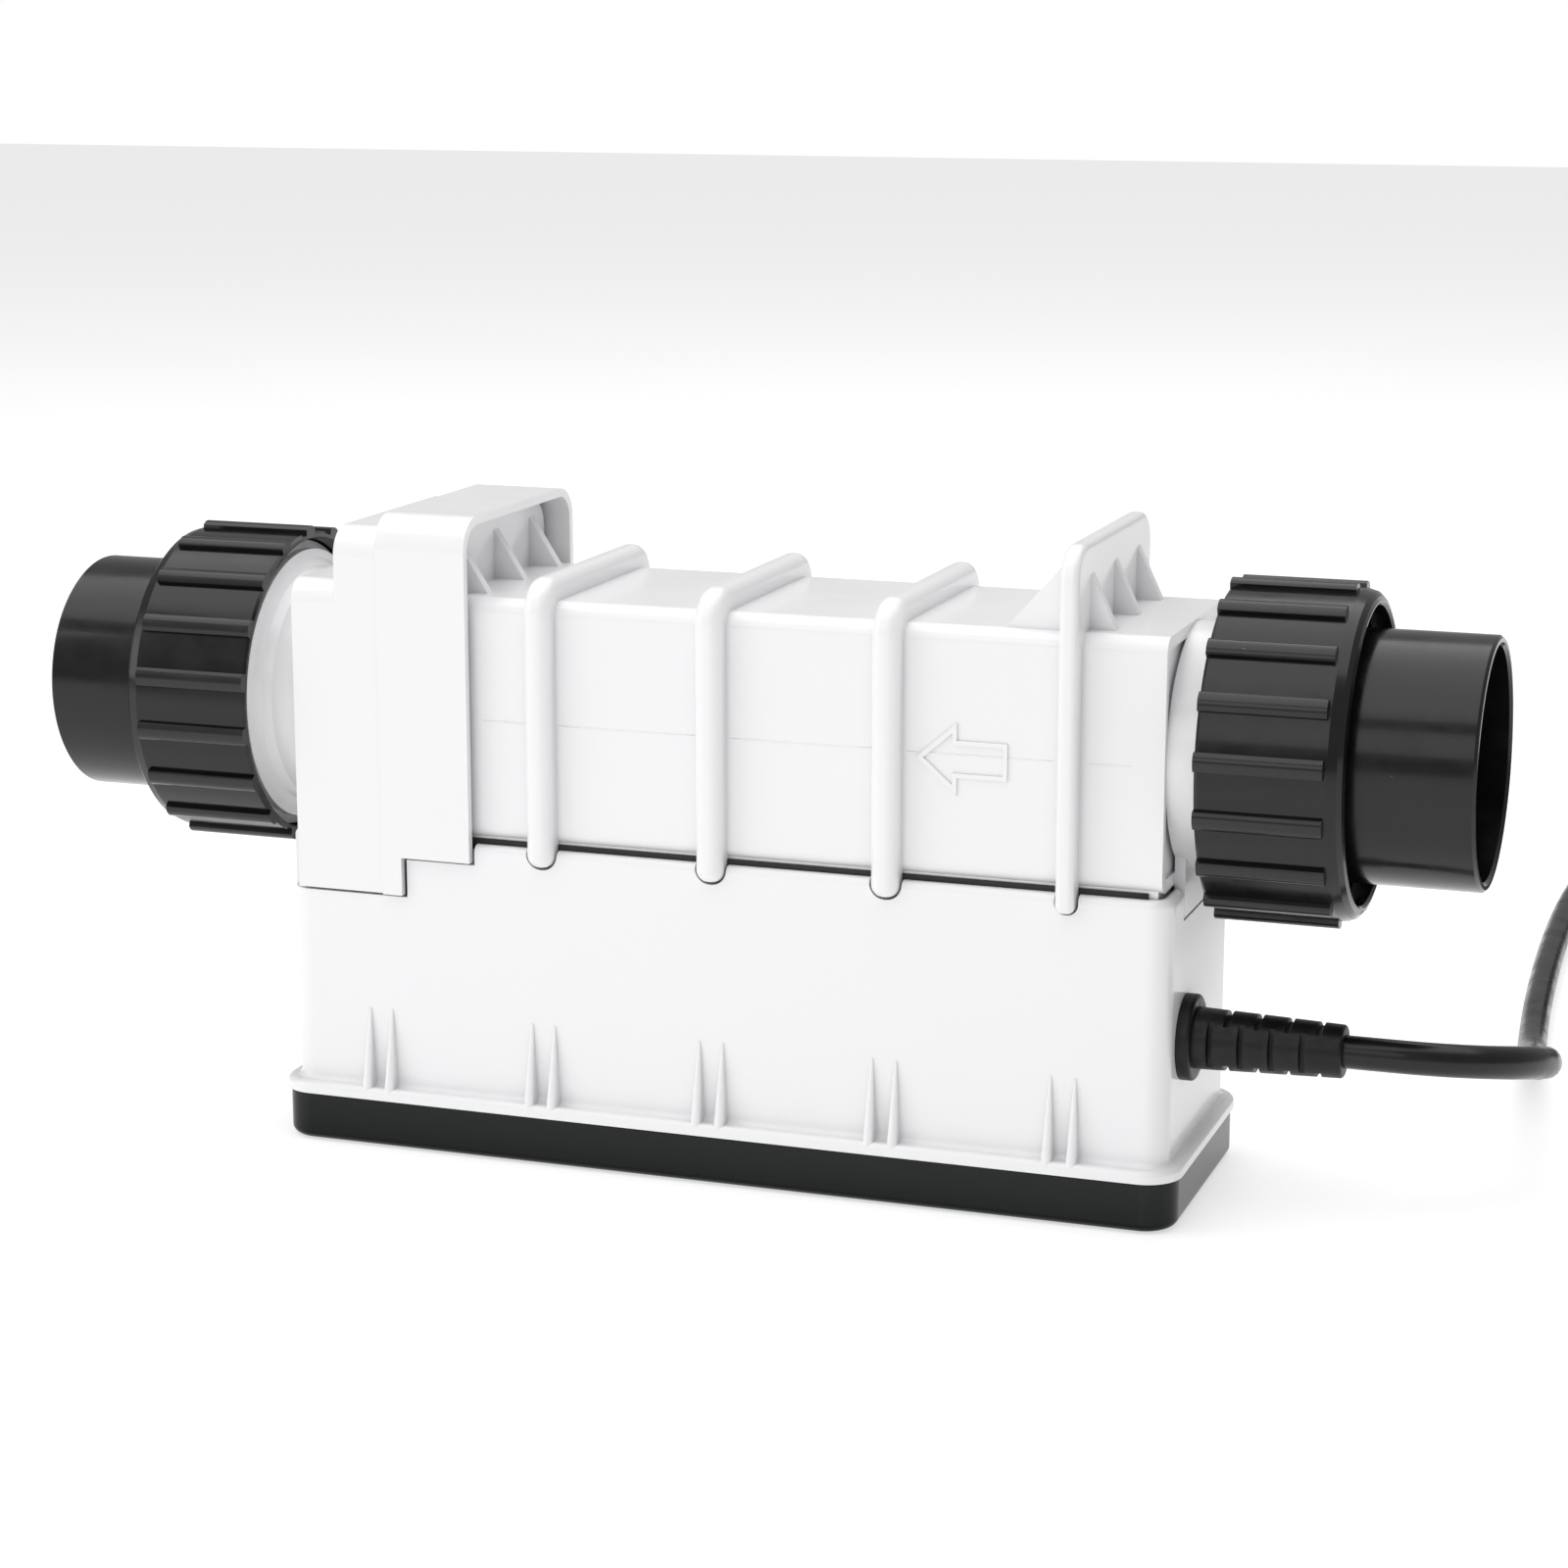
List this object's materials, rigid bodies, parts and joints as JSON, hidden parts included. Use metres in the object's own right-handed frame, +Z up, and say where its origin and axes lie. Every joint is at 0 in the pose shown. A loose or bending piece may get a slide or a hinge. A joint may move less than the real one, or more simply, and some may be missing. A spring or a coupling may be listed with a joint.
{
  "type": "salt chlorinator cell",
  "caption": "Inline pool water cell: a ribbed flow tube with a union at each end, standing on its control box, with a cable that ends in a multi-pin plug.",
  "frame": {"origin": "centre of the base, on the surface that the cell stands on, midway between the ends of the two tailpieces", "axes": "+X along the flow tube towards the inlet end where the cable leaves, +Y towards the back, +Z up"},
  "size_m": [0.5436, 0.4741, 0.1774],
  "materials": {
    "white_shell": "glossy moulded ABS",
    "black_union": "glossy black PVC",
    "smoked_cover": "smoked glossy polycarbonate",
    "black_nylon": "satin nylon",
    "cable_jacket": "smooth PVC jacket",
    "seal_rubber": "matte",
    "titanium": "bare titanium",
    "coated_titanium": "dark mixed oxide coating",
    "stainless": "stainless steel",
    "brass_pins": "bright",
    "board_green": "solder mask",
    "component_black": "moulded",
    "sink_aluminium": "extruded",
    "led_amber": "clear tinted",
    "button_grey": "satin"
  },
  "bodies": {
    "cell": {"cell_housing": "white_shell", "inlet_end_cap": "white_shell", "outlet_end_cap": "white_shell", "saddle_cover": "white_shell", "electronics_housing": "white_shell", "display_cover": "smoked_cover", "cover_gasket": "seal_rubber", "cover_screws": "stainless", "inlet_tailpiece": "black_union", "outlet_tailpiece": "black_union", "inlet_o_ring": "seal_rubber", "outlet_o_ring": "seal_rubber", "display_board": "board_green", "board_spacers": "component_black", "indicator_lights": "led_amber", "tact_switches": "component_black", "control_board": "board_green", "board_parts": "component_black", "heat_sink": "sink_aluminium", "flow_switch_body": "black_nylon", "paddle_pin": "titanium", "anode_plates": "coated_titanium", "cathode_plates": "titanium", "anode_busbar": "titanium", "cathode_busbar": "titanium", "plate_combs": "component_black", "stud_seals": "seal_rubber", "stud_nuts": "stainless", "temperature_probe": "titanium", "cable_gland": "black_nylon", "gland_nut": "black_nylon", "strain_relief": "black_nylon", "power_cord": "cable_jacket", "power_cord_tail": "cable_jacket", "power_cord_coil": "cable_jacket", "cord_tie": "black_nylon", "cord_plug": "black_nylon", "plug_pins": "brass_pins"},
    "inlet_nut": {"inlet_union_nut": "black_union"},
    "outlet_nut": {"outlet_union_nut": "black_union"},
    "paddle": {"flow_paddle": "black_nylon"},
    "more_key": {"button_more": "button_grey"},
    "less_key": {"button_less": "button_grey"}
  },
  "joints": [
    {"name": "inlet_nut_turn", "type": "hinge", "parent": "cell", "child": "inlet_nut", "pos_m": [0.15, 0, 0.1217], "axis": [-1, 0, 0], "continuous": true},
    {"name": "outlet_nut_turn", "type": "hinge", "parent": "cell", "child": "outlet_nut", "pos_m": [-0.15, 0, 0.1217], "axis": [1, 0, 0], "continuous": true},
    {"name": "paddle_swing", "type": "hinge", "parent": "cell", "child": "paddle", "pos_m": [-0.088, 0, 0.1], "axis": [0, -1, 0], "range_deg": [0, 30], "stiffness_Nm_per_rad": 0.004, "springref_deg": -8.59},
    {"name": "more_key_press", "type": "slide", "parent": "cell", "child": "more_key", "axis": [0, 0, 1], "range_m": [0, 0.0008], "stiffness_N_per_m": 800, "springref_m": -0.0004},
    {"name": "less_key_press", "type": "slide", "parent": "cell", "child": "less_key", "axis": [0, 0, 1], "range_m": [0, 0.0008], "stiffness_N_per_m": 800, "springref_m": -0.0004}
  ]
}
